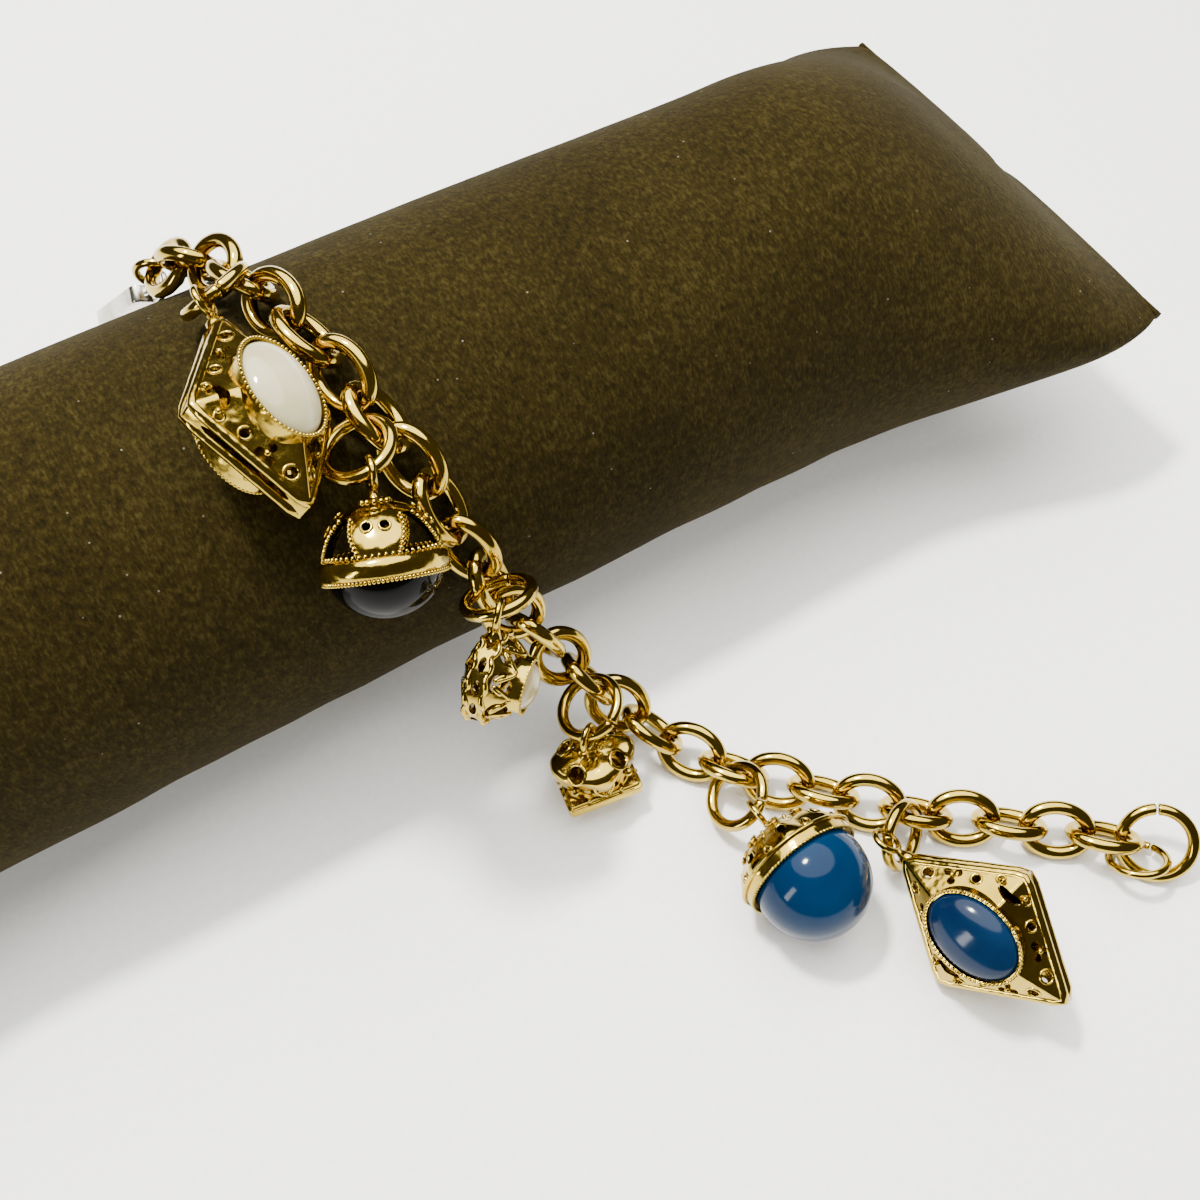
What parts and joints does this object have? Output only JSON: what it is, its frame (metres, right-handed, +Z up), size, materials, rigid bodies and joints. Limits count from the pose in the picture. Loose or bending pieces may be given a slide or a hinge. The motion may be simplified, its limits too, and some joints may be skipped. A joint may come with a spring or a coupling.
{
  "type": "charm bracelet on a display pillow",
  "caption": "A gold oval-link charm bracelet with pierced fobs and domed stones, laid undone over a plain suede bolster pillow.",
  "frame": {"origin": "bottom centre of the bounding box, on the table the pillow rests on", "axes": "+Z up; +X along the pillow towards its far seam end; -Y towards the free end of the chain, the front"},
  "size_m": [0.244, 0.1526, 0.0692],
  "materials": {
    "gold": "polished gold plate",
    "clasp_metal": "worn silvery plate",
    "white_stone": "milky polished cabochon",
    "black_stone": "polished cabochon",
    "cream_stone": "polished cabochon",
    "ball_stone": "deep polished half ball",
    "blue_stone": "polished cabochon",
    "suede": "short napped suede cloth"
  },
  "bodies": {
    "root": {"pillow": "suede", "chain_link_01": "gold", "chain_link_02": "gold", "chain_link_03": "gold", "chain_link_04": "gold", "chain_link_05": "gold", "chain_link_06": "gold", "chain_link_07": "gold", "chain_link_08": "gold", "chain_link_09": "gold", "chain_link_10": "gold", "chain_link_11": "gold", "chain_link_12": "gold", "chain_link_13": "gold", "chain_link_14": "gold", "chain_link_15": "gold", "chain_link_16": "gold", "chain_link_17": "gold", "chain_link_18": "gold", "chain_link_19": "gold", "chain_link_20": "gold", "chain_link_21": "gold", "chain_link_22": "gold", "chain_link_23": "gold", "chain_link_24": "gold", "chain_link_25": "gold", "chain_link_26": "gold", "chain_link_27": "gold", "chain_link_28": "gold", "charm_ring_1": "gold", "white_lozenge_case": "gold", "white_lozenge_stone": "white_stone", "white_lozenge_back_stone": "white_stone", "charm_ring_2": "gold", "black_fob_cage": "gold", "black_fob_stone": "black_stone", "charm_ring_3": "gold", "scroll_case": "gold", "scroll_stone": "cream_stone", "charm_ring_4": "gold", "seal_fob": "gold", "charm_ring_5": "gold", "blue_ball_case": "gold", "blue_ball_stone": "ball_stone", "charm_ring_6": "gold", "blue_lozenge_case": "gold", "blue_lozenge_stone": "blue_stone", "blue_lozenge_back_stone": "blue_stone", "end_ring": "gold", "end_ring_small": "gold", "clasp_ring": "gold", "clasp": "clasp_metal"}
  },
  "joints": []
}
